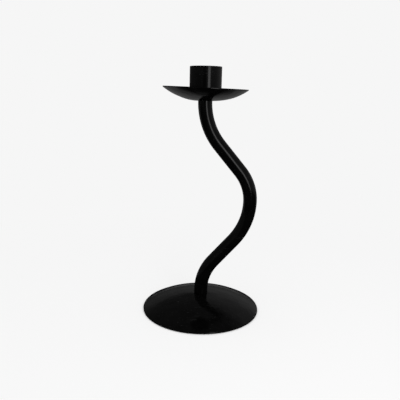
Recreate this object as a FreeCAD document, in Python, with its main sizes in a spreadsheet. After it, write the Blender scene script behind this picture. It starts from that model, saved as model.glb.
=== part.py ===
import FreeCAD, Part
import math
import os
import Sketcher

# Candle holder: a pressed steel dome as base, a round steel tube bent into one flat wave as
# stem, a shallow spun drip dish and a drawn cup for a 22 mm candle, all lacquered black.
# +Z is up, the origin is under the middle of the felt, and the wave swings out to +X.
# Lengths are millimetres, and the shares are parts of one.
SIZES = [
    ("base_radius", 48.65, "outer radius of the dome's rim"),
    ("base_height", 13.7, "from the dome's lower edge up to its flat"),
    ("base_edge", 1.15, "upright edge under the dome, before it is rounded"),
    ("base_sheet", 1.2, "sheet of the dome"),
    ("base_edge_round", 0.7, "rounding where the dome meets its edge"),
    ("base_land_radius", 6.7, "pressed flat that the stem stands on"),
    ("felt_thickness", 1.2, "felt under the base"),
    ("felt_proud", 0.3, "felt below the steel edge"),
    ("felt_inset", 3.6, "felt edge in from the rim"),
    ("cover_thickness", 1.5, "fibreboard that carries the felt"),
    ("cover_clearance", 0.1, "between the fibreboard and the dome"),
    ("stem_radius", 5.6, "outer radius of the tube"),
    ("stem_wall", 1.5, "wall of the tube"),
    ("wave_reach", 38.57, "how far the crest's centreline stands out"),
    ("lower_rise", 80.2, "from the dome up to the crest"),
    ("upper_rise", 79.8, "from the crest up to the dish"),
    ("foot_straight", 3.2, "upright stretch on the dome"),
    ("neck_straight", 0.6, "upright stretch under the dish"),
    ("lower_run", 24.4, "straight stretch below the crest"),
    ("upper_run", 26.8, "straight stretch above the crest"),
    ("foot_bend_share", 0.427, "foot bend's part of the two lower bends"),
    ("neck_bend_share", 0.582, "neck bend's part of the two upper bends"),
    ("insert_clearance", 0.05, "between an insert and the tube's bore"),
    ("foot_insert_length", 10.0, "insert in the foot of the tube"),
    ("head_insert_length", 11.0, "insert in the head of the tube"),
    ("tap_clearance", 0.05, "between a thread's crest and its hole"),
    ("screw_clearance", 0.25, "around a screw in a plain hole"),
    ("base_screw_radius", 3.0, "thread of the screw under the base"),
    ("base_screw_length", 12.0, "its shank under the head"),
    ("base_screw_head", 4.0, "height of its hexagon head"),
    ("base_screw_key", 10.0, "across the flats of that head"),
    ("washer_radius", 6.0, "plain washer under the base"),
    ("washer_thickness", 1.6, "its thickness"),
    ("spring_washer_radius", 5.5, "split washer under the base"),
    ("spring_washer_thickness", 1.6, "its thickness"),
    ("spring_washer_gap", 0.8, "the split in it"),
    ("dish_radius", 33.5, "outer radius of the drip dish"),
    ("dish_land_radius", 6.0, "flat of the dish on the stem"),
    ("dish_bowl_radius", 45.7, "curve of the dish's underside"),
    ("dish_rim", 0.6, "upright edge of the dish"),
    ("dish_sheet", 1.0, "sheet of the dish"),
    ("dish_rim_chamfer", 0.3, "trimmed outer corner of the dish's edge"),
    ("cup_radius", 12.5, "outer radius of the cup"),
    ("cup_height", 24.87, "height of the cup"),
    ("cup_clearance", 0.05, "between the cup's corner and the dish"),
    ("cup_wall", 1.0, "sheet of the cup"),
    ("cup_corner", 4.0, "rounding under the cup"),
    ("cup_lip_chamfer", 0.25, "trimmed corners of the cup's mouth"),
    ("cup_screw_radius", 2.5, "thread of the screw in the cup"),
    ("cup_screw_length", 10.0, "its shank under the head"),
    ("cup_screw_head_radius", 4.75, "radius of its pan head"),
    ("cup_screw_head", 2.8, "height of its pan head"),
    ("cup_screw_head_round", 1.2, "rounding of its pan head"),
    ("cup_screw_slot", 1.2, "width of its slot"),
    ("cup_screw_slot_depth", 1.3, "depth of its slot"),
    ("cut_overrun", 1.0, "how far a cut runs past what it cuts"),
]

doc = FreeCAD.newDocument("candle_holder")
sheet = doc.addObject("Spreadsheet::Sheet", "sizes")
for row, (alias, value, note) in enumerate(SIZES, start=1):
    sheet.set(f"A{row}", note)
    sheet.set(f"B{row}", str(value))
    sheet.setAlias(f"B{row}", alias)
doc.recompute()

# Heights in the stack and the radii that follow from several sizes, as expressions.
DOME_TOP = "(sizes.felt_proud + sizes.base_height)"
STEM_HEIGHT = "(sizes.lower_rise + sizes.upper_rise)"
DISH_BOTTOM = f"({DOME_TOP} + {STEM_HEIGHT})"
# The cup's rounded corner rests as a ring on the dish's inner curve.
CUP_BOTTOM = (
    f"({DISH_BOTTOM} + sizes.dish_bowl_radius - sizes.cup_corner + sizes.cup_clearance"
    " - sqrt((sizes.dish_bowl_radius - sizes.dish_sheet - sizes.cup_corner) ^ 2"
    " - (sizes.cup_radius - sizes.cup_corner - sizes.dish_land_radius) ^ 2))"
)
LAND_UNDERSIDE = f"({DOME_TOP} - sizes.base_sheet)"
BORE_RADIUS = "(sizes.stem_radius - sizes.stem_wall)"
SCREW_SEAT = f"({LAND_UNDERSIDE} - sizes.washer_thickness - sizes.spring_washer_thickness)"
DISH_DEPTH = (
    "(sizes.dish_bowl_radius - sqrt(sizes.dish_bowl_radius ^ 2"
    " - (sizes.dish_radius - sizes.dish_land_radius) ^ 2) + sizes.dish_rim)"
)

# The dome is a cap of a ball through the top of its edge and the rim of its flat: where the
# ball's centre is against the dome's lower edge, its radius, and how wide the dome's inside is
# at the fibreboard's upper face.
DOME_CENTRE = (
    "((sizes.base_land_radius ^ 2 + sizes.base_height ^ 2 - sizes.base_radius ^ 2"
    " - sizes.base_edge ^ 2) / (2 * (sizes.base_height - sizes.base_edge)))"
)
DOME_BALL = f"sqrt(sizes.base_radius ^ 2 + (sizes.base_edge - {DOME_CENTRE}) ^ 2)"
COVER_TOP = "(sizes.felt_thickness + sizes.cover_thickness - sizes.felt_proud)"
COVER_RADIUS = (
    f"sqrt(({DOME_BALL} - sizes.base_sheet) ^ 2 - ({COVER_TOP} - {DOME_CENTRE}) ^ 2)"
    " - sizes.cover_clearance"
)

# Two bends that meet a straight run: their radii together, from reach, rise and run.
LOWER_BENDS = (
    "((sizes.wave_reach ^ 2 + (sizes.lower_rise - sizes.foot_straight) ^ 2"
    " - sizes.lower_run ^ 2) / (2 * sizes.wave_reach))"
)
UPPER_BENDS = (
    "((sizes.wave_reach ^ 2 + (sizes.upper_rise - sizes.neck_straight) ^ 2"
    " - sizes.upper_run ^ 2) / (2 * sizes.wave_reach))"
)
FOOT_BEND = f"({LOWER_BENDS} * sizes.foot_bend_share)"
LOWER_CREST_BEND = f"({LOWER_BENDS} * (1 - sizes.foot_bend_share))"
NECK_BEND = f"({UPPER_BENDS} * sizes.neck_bend_share)"
UPPER_CREST_BEND = f"({UPPER_BENDS} * (1 - sizes.neck_bend_share))"


def value_of(expression):
    return float(sheet.evalExpression(expression))


def new_body(name, height="0"):
    body = doc.addObject("PartDesign::Body", name)
    body.Label = name
    if height != "0":
        body.setExpression("Placement.Base.z", height)
    return body


def new_sketch(body, name, plane):
    sketch = body.newObject("Sketcher::SketchObject", name)
    origin_plane = next(o for o in body.Origin.OriginFeatures if o.Role == plane)
    sketch.AttachmentSupport = [(origin_plane, "")]
    sketch.MapMode = "FlatFace"
    return sketch


def dimension(sketch, name, kind, refs, expression):
    sketch.addConstraint(Sketcher.Constraint(kind, *refs, value_of(expression)))
    sketch.renameConstraint(sketch.ConstraintCount - 1, name)
    sketch.setExpression(f"Constraints.{name}", expression)


def constrain(sketch, constraints):
    for constraint in constraints:
        sketch.addConstraint(Sketcher.Constraint(*constraint))


def point(x, y):
    return FreeCAD.Vector(x, y, 0)


def line(x0, y0, x1, y1):
    return Part.LineSegment(point(x0, y0), point(x1, y1))


def arc(x, y, radius, start, end):
    circle = Part.Circle(point(x, y), FreeCAD.Vector(0, 0, 1), radius)
    return Part.ArcOfCircle(circle, start, end)


def circle_sketch(body, name, radii):
    sketch = new_sketch(body, name, "XY_Plane")
    for number, radius in enumerate(radii):
        sketch.addGeometry(Part.Circle(point(0, 0), FreeCAD.Vector(0, 0, 1), value_of(radius)))
        constrain(sketch, [("Coincident", number, 3, -1, 1)])
        dimension(sketch, f"radius_{number + 1}", "Radius", (number,), radius)
    return sketch


def feature(body, kind, name, sketch=None):
    made = body.newObject(f"PartDesign::{kind}", name)
    if sketch is not None:
        made.Profile = sketch
        sketch.Visibility = False
    return made


def revolve(body, name, sketch):
    made = feature(body, "Revolution", name, sketch)
    made.ReferenceAxis = (sketch, ["V_Axis"])
    made.Angle = 360
    doc.recompute()
    return made


def pad(body, name, sketch, length):
    made = feature(body, "Pad", name, sketch)
    made.setExpression("Length", length)
    doc.recompute()
    return made


def cut_through(body, name, sketch):
    before = body.Shape.Volume
    made = feature(body, "Pocket", name, sketch)
    made.Type = 1
    made.Midplane = True
    doc.recompute()
    if body.Shape.Volume >= before:
        raise RuntimeError(f"{name} cuts nothing")
    return made


def rectangle_sketch(body, name, left, right, width):
    """A rectangle along X, with its middle on the X axis."""
    sketch = new_sketch(body, name, "XY_Plane")
    x0, x1, half = value_of(left), value_of(right), value_of(width) / 2
    sketch.addGeometry([
        line(x0, -half, x1, -half),
        line(x1, -half, x1, half),
        line(x1, half, x0, half),
        line(x0, half, x0, -half),
    ])
    for side in range(4):
        constrain(sketch, [
            ("Coincident", side, 2, (side + 1) % 4, 1),
            ("Vertical" if side % 2 else "Horizontal", side),
        ])
    dimension(sketch, "left", "DistanceX", (-1, 1, 0, 1), left)
    dimension(sketch, "right", "DistanceX", (-1, 1, 0, 2), right)
    dimension(sketch, "half_width", "DistanceY", (0, 1, -1, 1), f"({width}) / 2")
    dimension(sketch, "width", "DistanceY", (1, 1, 1, 2), width)
    return sketch


def flat_face(shape, highest):
    """Name of the level flat face that lies highest or lowest."""
    flats = []
    for number, face in enumerate(shape.Faces, start=1):
        if isinstance(face.Surface, Part.Plane) and abs(face.Surface.Axis.z) > abs(face.Surface.Axis.x):
            flats.append((face.CenterOfMass.z, f"Face{number}"))
    return max(flats)[1] if highest else min(flats)[1]


def hollow(body, name, open_at_top, thickness):
    """Shell the solid inwards, open at its top or at its bottom."""
    base = body.Tip
    made = feature(body, "Thickness", name)
    made.Base = (base, [flat_face(base.Shape, open_at_top)])
    made.setExpression("Value", thickness)
    made.Reversed = True
    made.Join = 1
    doc.recompute()
    return made


def ring_edges(name, shape, rings, height):
    """Names of the circular edges that have one of the radii and lie at the height."""
    level = value_of(height)
    edges = []
    for radius in map(value_of, rings):
        for number, edge in enumerate(shape.Edges, start=1):
            if isinstance(edge.Curve, Part.Circle):
                found = (edge.Curve.Radius, edge.Curve.Center.z)
                if math.dist(found, (radius, level)) < radius * 1e-6:
                    edges.append(f"Edge{number}")
    if len(edges) < len(rings):
        raise RuntimeError(f"{name} finds too few edges")
    return edges


def round_ring(body, name, ring, height, radius):
    base = body.Tip
    made = feature(body, "Fillet", name)
    made.Base = (base, ring_edges(name, base.Shape, [ring], height))
    made.setExpression("Radius", radius)
    doc.recompute()
    return made


def trim_rings(body, name, rings, height, size):
    base = body.Tip
    made = feature(body, "Chamfer", name)
    made.Base = (base, ring_edges(name, base.Shape, rings, height))
    made.setExpression("Size", size)
    doc.recompute()
    return made


# The dome: a flat to stand the stem on, a ball's cap down to the rounded edge, open underneath.
def make_base_dome():
    body = new_body("base_dome", "sizes.felt_proud")
    radius, land = value_of("sizes.base_radius"), value_of("sizes.base_land_radius")
    turn, steel = value_of("sizes.base_edge_round"), value_of("sizes.base_sheet")
    top, centre, ball = value_of("sizes.base_height"), value_of(DOME_CENTRE), value_of(DOME_BALL)
    edge = centre + math.sqrt((ball - turn) ** 2 - (radius - turn) ** 2)
    shoulder = math.atan2(edge - centre, radius - turn)
    inner = ball - steel
    inner_land = math.sqrt(inner**2 - (top - steel - centre) ** 2)
    inner_edge = centre + math.sqrt(inner**2 - (radius - steel) ** 2)

    outline = new_sketch(body, "dome_outline", "XZ_Plane")
    outline.addGeometry([
        line(radius, 0, radius, edge),
        arc(radius - turn, edge, turn, 0, shoulder),
        arc(0, centre, ball, shoulder, math.atan2(top - centre, land)),
        line(land, top, 0, top),
        line(0, top, 0, top - steel),
        line(0, top - steel, inner_land, top - steel),
        arc(
            0, centre, inner,
            math.atan2(inner_edge - centre, radius - steel), math.atan2(top - steel - centre, inner_land),
        ),
        line(radius - steel, inner_edge, radius - steel, 0),
        line(radius - steel, 0, radius, 0),
    ])
    constrain(outline, [
        ("PointOnObject", 0, 1, -1),
        ("Vertical", 0),
        ("Tangent", 0, 2, 1, 1),
        ("Tangent", 1, 2, 2, 1),
        ("PointOnObject", 2, 3, -2),
        ("Coincident", 2, 2, 3, 1),
        ("Horizontal", 3),
        ("PointOnObject", 3, 2, -2),
        ("Coincident", 3, 2, 4, 1),
        ("Vertical", 4),
        ("Coincident", 4, 2, 5, 1),
        ("Horizontal", 5),
        ("Coincident", 5, 2, 6, 2),
        ("Coincident", 6, 3, 2, 3),
        ("Coincident", 6, 1, 7, 1),
        ("Vertical", 7),
        ("Coincident", 7, 2, 8, 1),
        ("Horizontal", 8),
        ("Coincident", 8, 2, 0, 1),
    ])
    dimension(outline, "radius", "DistanceX", (-1, 1, 0, 1), "sizes.base_radius")
    dimension(outline, "edge_round", "Radius", (1,), "sizes.base_edge_round")
    dimension(outline, "ball", "Radius", (2,), DOME_BALL)
    dimension(outline, "ball_centre", "DistanceY", (2, 3, -1, 1), f"0 - {DOME_CENTRE}")
    dimension(outline, "land", "DistanceX", (3, 2, 3, 1), "sizes.base_land_radius")
    dimension(outline, "land_sheet", "DistanceY", (4, 2, 4, 1), "sizes.base_sheet")
    dimension(outline, "inner_ball", "Radius", (6,), f"{DOME_BALL} - sizes.base_sheet")
    dimension(outline, "edge_sheet", "DistanceX", (8, 1, 8, 2), "sizes.base_sheet")
    revolve(body, "dome_form", outline)
    hole = circle_sketch(body, "dome_hole", ["sizes.base_screw_radius + sizes.screw_clearance"])
    cut_through(body, "dome_drilled", hole)
    return body


# The fibreboard closes the dome from below: its upper edge meets the dome's inner wall.
def make_base_cover():
    body = new_body("base_cover", "sizes.felt_thickness")
    disc = circle_sketch(body, "cover_disc", [COVER_RADIUS])
    pad(body, "cover_board", disc, "sizes.cover_thickness")
    return body


def make_base_felt():
    body = new_body("base_felt")
    disc = circle_sketch(body, "felt_disc", ["sizes.base_radius - sizes.felt_inset"])
    pad(body, "felt_sheet", disc, "sizes.felt_thickness")
    return body


def make_base_washer():
    body = new_body("base_washer", f"{LAND_UNDERSIDE} - sizes.washer_thickness")
    ring = circle_sketch(
        body, "washer_ring", ["sizes.washer_radius", "sizes.base_screw_radius + sizes.screw_clearance"]
    )
    pad(body, "washer_blank", ring, "sizes.washer_thickness")
    return body


def make_base_spring_washer():
    body = new_body("base_spring_washer", SCREW_SEAT)
    ring = circle_sketch(
        body, "coil_ring", ["sizes.spring_washer_radius", "sizes.base_screw_radius + sizes.screw_clearance"]
    )
    pad(body, "coil_blank", ring, "sizes.spring_washer_thickness")
    split = rectangle_sketch(
        body, "coil_split", "0", "sizes.spring_washer_radius + sizes.cut_overrun", "sizes.spring_washer_gap"
    )
    cut_through(body, "coil_split_cut", split)
    return body


def make_base_screw():
    body = new_body("base_screw", SCREW_SEAT)
    shank = circle_sketch(body, "shank_ring", ["sizes.base_screw_radius"])
    pad(body, "shank", shank, "sizes.base_screw_length")

    hexagon = new_sketch(body, "head_hexagon", "XY_Plane")
    corner = value_of("sizes.base_screw_key / sqrt(3)")
    corners = [
        (corner * math.cos(math.radians(turn)), corner * math.sin(math.radians(turn)))
        for turn in range(0, 360, 60)
    ]
    for start, end in zip(corners, corners[1:] + corners[:1]):
        hexagon.addGeometry(line(*start, *end))
    ring = hexagon.addGeometry(Part.Circle(point(0, 0), FreeCAD.Vector(0, 0, 1), corner), True)
    sides = len(corners)
    for side in range(sides):
        constrain(hexagon, [("Coincident", side, 2, (side + 1) % sides, 1), ("PointOnObject", side, 1, ring)])
    for side in range(1, sides):
        constrain(hexagon, [("Equal", 0, side)])
    constrain(hexagon, [("Coincident", ring, 3, -1, 1), ("PointOnObject", 0, 1, -1)])
    dimension(hexagon, "corner", "Radius", (ring,), "sizes.base_screw_key / sqrt(3)")
    head = pad(body, "head", hexagon, "sizes.base_screw_head")
    head.Reversed = True
    doc.recompute()
    return body


# The stem's centreline: upright on the dome, out to the crest and back under the dish, each
# half as two bends that meet a straight run. Every joint along it is tangent.
def bend_lean(rise, bends, run):
    """Lean of the straight run from upright, in radians."""
    reach = value_of("sizes.wave_reach")
    return math.atan2(reach - bends, rise) + math.atan2(bends, run)


def stem_path(body):
    path = new_sketch(body, "stem_path", "XZ_Plane")
    reach = value_of("sizes.wave_reach")
    foot = value_of("sizes.foot_straight")
    crest = value_of("sizes.lower_rise")
    top = value_of(STEM_HEIGHT)
    neck = top - value_of("sizes.neck_straight")
    foot_bend, low_bend = value_of(FOOT_BEND), value_of(LOWER_CREST_BEND)
    neck_bend, high_bend = value_of(NECK_BEND), value_of(UPPER_CREST_BEND)
    low = bend_lean(crest - foot, foot_bend + low_bend, value_of("sizes.lower_run"))
    high = bend_lean(neck - crest, neck_bend + high_bend, value_of("sizes.upper_run"))

    foot_arc = arc(foot_bend, foot, foot_bend, math.pi - low, math.pi)
    low_arc = arc(reach - low_bend, crest, low_bend, -low, 0)
    high_arc = arc(reach - high_bend, crest, high_bend, 0, high)
    neck_arc = arc(neck_bend, neck, neck_bend, math.pi, math.pi + high)
    path.addGeometry([
        line(0, 0, 0, foot),
        foot_arc,
        Part.LineSegment(foot_arc.StartPoint, low_arc.StartPoint),
        low_arc,
        high_arc,
        Part.LineSegment(high_arc.EndPoint, neck_arc.EndPoint),
        neck_arc,
        line(0, neck, 0, top),
    ])
    constrain(path, [
        ("Coincident", 0, 1, -1, 1),
        ("Vertical", 0),
        ("Tangent", 0, 2, 1, 2),
        ("Tangent", 1, 1, 2, 1),
        ("Tangent", 2, 2, 3, 1),
        ("Tangent", 3, 2, 4, 1),
        ("Tangent", 4, 2, 5, 1),
        ("Tangent", 5, 2, 6, 2),
        ("Tangent", 6, 1, 7, 1),
        ("PointOnObject", 7, 2, -2),
        ("Horizontal", 3, 3, 3, 2),
    ])
    dimension(path, "foot_straight", "DistanceY", (0, 1, 0, 2), "sizes.foot_straight")
    dimension(path, "neck_straight", "DistanceY", (7, 1, 7, 2), "sizes.neck_straight")
    dimension(path, "height", "DistanceY", (0, 1, 7, 2), STEM_HEIGHT)
    dimension(path, "crest_height", "DistanceY", (0, 1, 3, 2), "sizes.lower_rise")
    dimension(path, "crest_reach", "DistanceX", (0, 1, 3, 2), "sizes.wave_reach")
    dimension(path, "foot_bend", "Radius", (1,), FOOT_BEND)
    dimension(path, "low_crest_bend", "Radius", (3,), LOWER_CREST_BEND)
    dimension(path, "neck_bend", "Radius", (6,), NECK_BEND)
    dimension(path, "high_crest_bend", "Radius", (4,), UPPER_CREST_BEND)
    return path


def make_stem_tube():
    body = new_body("stem_tube", DOME_TOP)
    section = circle_sketch(body, "tube_section", ["sizes.stem_radius", BORE_RADIUS])
    path = stem_path(body)
    doc.recompute()
    tube = feature(body, "AdditivePipe", "tube", section)
    tube.Spine = (path, [f"Edge{number}" for number in range(1, path.GeometryCount + 1)])
    doc.recompute()
    expected = path.Shape.Length * value_of(f"pi * (sizes.stem_radius ^ 2 - {BORE_RADIUS} ^ 2)")
    print(f"stem: centreline {path.Shape.Length:.2f}, volume {body.Shape.Volume:.1f} of {expected:.1f}")
    return body


# A slug pressed into the straight tube before it is bent, so that it follows the first of the
# bend. Its thread runs straight. The one in the head is the same form, turned upside down.
def make_insert(name, height, straight, bend, length, screw):
    body = new_body(name, height)
    bend_radius, upright, end = value_of(bend), value_of(straight), value_of(length)
    turn = math.asin((end - upright) / bend_radius)
    section = circle_sketch(body, f"{name}_section", [f"{BORE_RADIUS} - sizes.insert_clearance"])
    path = new_sketch(body, f"{name}_path", "XZ_Plane")
    path.addGeometry([
        line(0, 0, 0, upright),
        arc(bend_radius, upright, bend_radius, math.pi - turn, math.pi),
    ])
    constrain(path, [("Coincident", 0, 1, -1, 1), ("Vertical", 0), ("Tangent", 0, 2, 1, 2)])
    dimension(path, "straight", "DistanceY", (0, 1, 0, 2), straight)
    dimension(path, "length", "DistanceY", (0, 1, 1, 1), length)
    dimension(path, "bend", "Radius", (1,), bend)
    doc.recompute()
    slug = feature(body, "AdditivePipe", f"{name}_slug", section)
    slug.Spine = (path, [f"Edge{number}" for number in range(1, path.GeometryCount + 1)])
    doc.recompute()
    thread = circle_sketch(body, f"{name}_thread", [f"{screw} + sizes.tap_clearance"])
    cut_through(body, f"{name}_tapped", thread)
    return body


# The drip dish: a flat on the stem, then one even curve up to a short edge, trimmed outside.
def make_drip_dish():
    body = new_body("drip_dish", DISH_BOTTOM)
    radius, land = value_of("sizes.dish_radius"), value_of("sizes.dish_land_radius")
    bowl, steel = value_of("sizes.dish_bowl_radius"), value_of("sizes.dish_sheet")
    top = value_of(DISH_DEPTH)
    edge = top - value_of("sizes.dish_rim")
    inner = bowl - steel
    inner_top = land + math.sqrt(inner**2 - (bowl - top) ** 2)

    outline = new_sketch(body, "dish_outline", "XZ_Plane")
    outline.addGeometry([
        line(0, 0, land, 0),
        arc(land, bowl, bowl, -math.pi / 2, math.atan2(edge - bowl, radius - land)),
        line(radius, edge, radius, top),
        line(radius, top, inner_top, top),
        arc(land, bowl, inner, -math.pi / 2, math.atan2(top - bowl, inner_top - land)),
        line(land, steel, 0, steel),
        line(0, steel, 0, 0),
    ])
    constrain(outline, [
        ("Coincident", 0, 1, -1, 1),
        ("Horizontal", 0),
        ("Tangent", 0, 2, 1, 1),
        ("Coincident", 1, 2, 2, 1),
        ("Vertical", 2),
        ("Coincident", 2, 2, 3, 1),
        ("Horizontal", 3),
        ("Coincident", 3, 2, 4, 2),
        ("Coincident", 4, 3, 1, 3),
        ("Tangent", 4, 1, 5, 1),
        ("Horizontal", 5),
        ("Coincident", 5, 2, 6, 1),
        ("Vertical", 6),
        ("Coincident", 6, 2, 0, 1),
    ])
    dimension(outline, "land", "DistanceX", (0, 1, 0, 2), "sizes.dish_land_radius")
    dimension(outline, "bowl", "Radius", (1,), "sizes.dish_bowl_radius")
    dimension(outline, "radius", "DistanceX", (0, 1, 1, 2), "sizes.dish_radius")
    dimension(outline, "rim", "DistanceY", (2, 1, 2, 2), "sizes.dish_rim")
    dimension(outline, "sheet", "DistanceY", (6, 2, 6, 1), "sizes.dish_sheet")
    revolve(body, "dish_form", outline)
    trim_rings(body, "dish_edge_trim", ["sizes.dish_radius"], DISH_DEPTH, "sizes.dish_rim_chamfer")
    hole = circle_sketch(body, "dish_hole", ["sizes.cup_screw_radius + sizes.screw_clearance"])
    cut_through(body, "dish_drilled", hole)
    return body


# The cup: drawn from one sheet, with rounded corners, a trimmed mouth and a hole for its screw.
def make_candle_cup():
    body = new_body("candle_cup", CUP_BOTTOM)
    blank = circle_sketch(body, "cup_blank", ["sizes.cup_radius"])
    pad(body, "cup_form", blank, "sizes.cup_height")
    round_ring(body, "cup_corner_form", "sizes.cup_radius", "0", "sizes.cup_corner")
    hollow(body, "cup_sheet", True, "sizes.cup_wall")
    mouth = ["sizes.cup_radius", "sizes.cup_radius - sizes.cup_wall"]
    trim_rings(body, "cup_mouth_trim", mouth, "sizes.cup_height", "sizes.cup_lip_chamfer")
    hole = circle_sketch(body, "cup_hole", ["sizes.cup_screw_radius + sizes.screw_clearance"])
    cut_through(body, "cup_drilled", hole)
    return body


# The slotted pan-head screw on the cup's floor, down through the dish into the stem.
def make_cup_screw():
    body = new_body("cup_screw", f"{CUP_BOTTOM} + sizes.cup_wall")
    head = circle_sketch(body, "pan_ring", ["sizes.cup_screw_head_radius"])
    pad(body, "pan_head", head, "sizes.cup_screw_head")
    round_ring(
        body, "pan_round", "sizes.cup_screw_head_radius", "sizes.cup_screw_head", "sizes.cup_screw_head_round"
    )
    shank = circle_sketch(body, "screw_ring", ["sizes.cup_screw_radius"])
    pad(body, "screw_shank", shank, "sizes.cup_screw_length").Reversed = True
    doc.recompute()
    reach = "sizes.cup_screw_head_radius + sizes.cut_overrun"
    slot = rectangle_sketch(body, "slot_outline", f"0 - ({reach})", reach, "sizes.cup_screw_slot")
    slot.setExpression("AttachmentOffset.Base.z", "sizes.cup_screw_head")
    before = body.Shape.Volume
    cut = feature(body, "Pocket", "slot", slot)
    cut.setExpression("Length", "sizes.cup_screw_slot_depth")
    doc.recompute()
    if body.Shape.Volume >= before:
        raise RuntimeError("the slot cuts nothing")
    return body


parts = [
    make_base_felt(),
    make_base_cover(),
    make_base_dome(),
    make_base_washer(),
    make_base_spring_washer(),
    make_base_screw(),
    make_stem_tube(),
    make_insert(
        "stem_foot_insert", DOME_TOP, "sizes.foot_straight", FOOT_BEND,
        "sizes.foot_insert_length", "sizes.base_screw_radius",
    ),
    make_insert(
        "stem_head_insert", DISH_BOTTOM, "sizes.neck_straight", NECK_BEND,
        "sizes.head_insert_length", "sizes.cup_screw_radius",
    ),
    make_drip_dish(),
    make_candle_cup(),
    make_cup_screw(),
]
upside_down = FreeCAD.Rotation(FreeCAD.Vector(1, 0, 0), 180)
doc.getObject("stem_head_insert").Placement.Rotation = upside_down
doc.recompute()

for item in doc.Objects:
    if "Invalid" in item.State or "Error" in item.State:
        raise RuntimeError(f"{item.Name} failed: {item.State}")
os.makedirs("parts", exist_ok=True)
for part in parts:
    if part.Shape.isNull() or not part.Shape.isValid() or len(part.Shape.Solids) != 1:
        raise RuntimeError(f"{part.Label} is not one valid solid")
    part.Shape.exportStep(f"parts/{part.Label}.step")
    box = part.Shape.BoundBox
    print(f"{part.Label}: {part.Shape.Volume:.1f} mm3, z {box.ZMin:.2f} to {box.ZMax:.2f}")
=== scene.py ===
import math
import bpy
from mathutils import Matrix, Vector


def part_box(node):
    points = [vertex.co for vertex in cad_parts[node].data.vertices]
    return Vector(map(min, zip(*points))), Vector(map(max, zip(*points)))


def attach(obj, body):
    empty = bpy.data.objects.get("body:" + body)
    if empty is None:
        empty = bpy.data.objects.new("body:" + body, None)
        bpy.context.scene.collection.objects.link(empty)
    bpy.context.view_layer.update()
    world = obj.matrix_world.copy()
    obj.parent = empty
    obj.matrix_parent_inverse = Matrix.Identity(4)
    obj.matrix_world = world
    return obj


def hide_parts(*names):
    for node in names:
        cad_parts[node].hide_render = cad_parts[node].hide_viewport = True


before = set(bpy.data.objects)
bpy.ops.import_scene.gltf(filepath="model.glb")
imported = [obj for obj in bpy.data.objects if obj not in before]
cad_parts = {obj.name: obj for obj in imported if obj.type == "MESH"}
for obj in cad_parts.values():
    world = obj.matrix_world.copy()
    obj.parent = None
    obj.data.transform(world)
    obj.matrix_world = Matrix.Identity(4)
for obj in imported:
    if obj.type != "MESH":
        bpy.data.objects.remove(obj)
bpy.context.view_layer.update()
mm = 0.001


def say(stage):
    print("candle holder:", stage)


def linearColor(hexText):  # sRGB hex, as a colour picker shows it, to Blender's linear values
    channels = [int(hexText[i:i + 2], 16) / 255 for i in (1, 3, 5)]
    linear = [c / 12.92 if c <= 0.04045 else ((c + 0.055) / 1.055) ** 2.4 for c in channels]
    return (*linear, 1.0)


def addNode(tree, kind, settings=None, links=None):
    # a setting is a value of the node or of its socket; a node given as a link is its first output
    node = tree.nodes.new(kind)
    for name, value in (settings or {}).items():
        if isinstance(name, str) and hasattr(node, name):
            setattr(node, name, value)
        else:
            node.inputs[name].default_value = value
    for name, source in (links or {}).items():
        output = source.outputs[0] if isinstance(source, bpy.types.Node) else source
        tree.links.new(output, node.inputs[name])
    return node


def newTree(owner):
    owner.use_nodes = True
    owner.node_tree.nodes.clear()
    return owner.node_tree


def deselectAll():
    bpy.ops.object.select_all(action="DESELECT")


def selectOnly(piece):
    deselectAll()
    piece.select_set(True)
    bpy.context.view_layer.objects.active = piece


def editAll():
    bpy.ops.object.mode_set(mode="EDIT")
    bpy.ops.mesh.select_all(action="SELECT")


def moveBy(x, z):  # extrude the selected point in the drawing plane
    bpy.ops.mesh.extrude_vertices_move(TRANSFORM_OT_translate={"value": (x, 0, z)})


def turnBy(centerX, centerZ, degrees, steps):  # clockwise seen from the front; spin counts the other way
    bpy.ops.mesh.spin(
        steps=steps, angle=-math.radians(degrees), center=(centerX, 0, centerZ), axis=(0, 1, 0)
    )


def startOutline(name, x, z):  # one point, from which an outline is drawn in the XZ plane
    deselectAll()
    bpy.ops.mesh.primitive_plane_add(size=mm, location=(x, 0, z))
    piece = bpy.context.object
    piece.name = piece.data.name = name
    bpy.ops.object.transform_apply(location=True, rotation=True, scale=True)
    editAll()
    bpy.ops.mesh.merge(type="CENTER")
    return piece


def latheOutline(piece, sides):  # the closed outline goes once round the Z axis
    bpy.ops.mesh.select_all(action="SELECT")
    bpy.ops.mesh.remove_doubles(threshold=mm / 1000)
    bpy.ops.mesh.spin(steps=sides, angle=math.tau, center=(0, 0, 0), axis=(0, 0, 1))
    finishSkin(piece)


def finishSkin(piece, sharpAngle=35):  # one closed skin, facing outwards, with crisp and smooth edges
    bpy.ops.mesh.select_all(action="SELECT")
    bpy.ops.mesh.remove_doubles(threshold=mm / 1000)
    bpy.ops.mesh.normals_make_consistent(inside=False)
    bpy.ops.object.mode_set(mode="OBJECT")
    bpy.ops.object.shade_smooth_by_angle(angle=math.radians(sharpAngle))
    bpy.ops.object.modifier_add(type="WEIGHTED_NORMAL")
    piece.modifiers[-1].keep_sharp = True
    bpy.ops.object.modifier_apply(modifier=piece.modifiers[-1].name)


def giveMaterial(piece, material):
    piece.data.materials.clear()
    piece.data.materials.append(material)


def dressPiece(piece, material, slotName, *replaced):
    giveMaterial(piece, material)
    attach(piece, "root")
    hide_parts(*replaced)
    print(f"  {piece.name}: {len(piece.data.polygons)} faces")


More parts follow.
